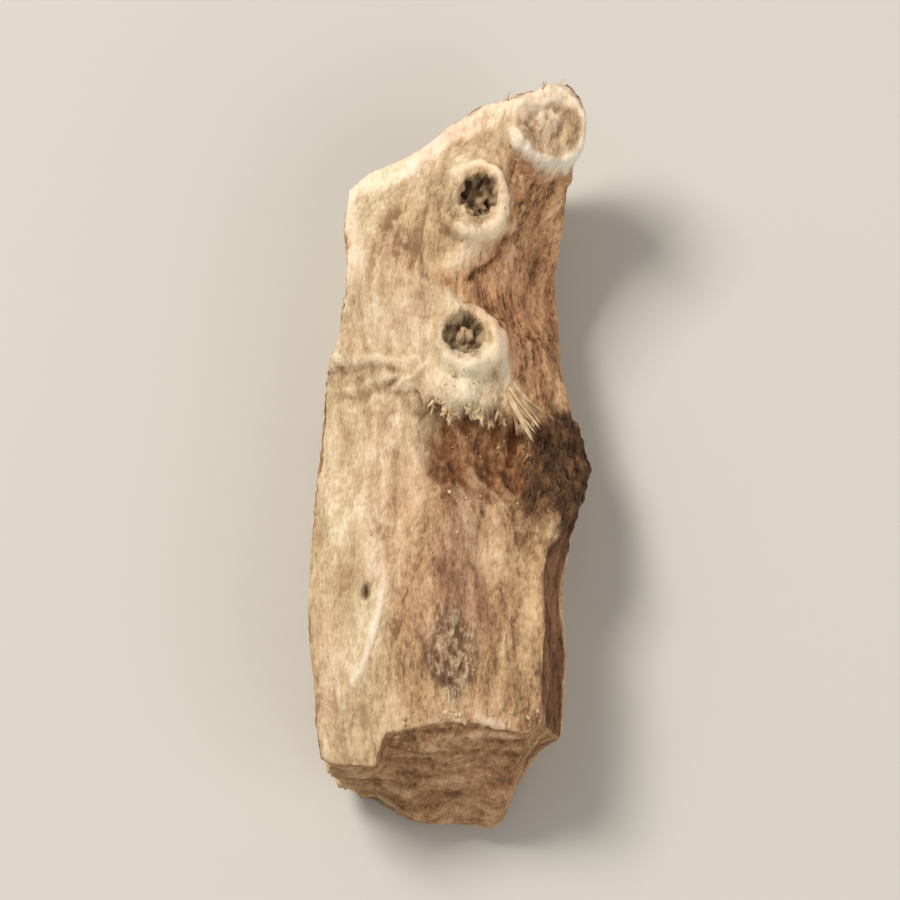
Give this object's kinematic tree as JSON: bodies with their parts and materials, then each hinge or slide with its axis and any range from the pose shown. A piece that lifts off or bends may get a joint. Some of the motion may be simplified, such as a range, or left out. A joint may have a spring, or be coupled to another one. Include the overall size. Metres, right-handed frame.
{
  "type": "calamus root",
  "caption": "Dried, cut piece of calamus rhizome: a split strip with wrinkled bark, a ragged node ring and raised root scars.",
  "frame": {"origin": "middle of the piece's box, on the plane that its split face rests on", "axes": "+Y along the rhizome towards its growing tip, +Z out of the bark, +X to the side where the highest root scar stands"},
  "size_m": [0.0076, 0.0198, 0.0062],
  "materials": {
    "dried_root": "dry, matt, wrinkled bark over pale spongy split faces"
  },
  "bodies": {
    "root": {"calamus_root": "dried_root"}
  },
  "joints": []
}
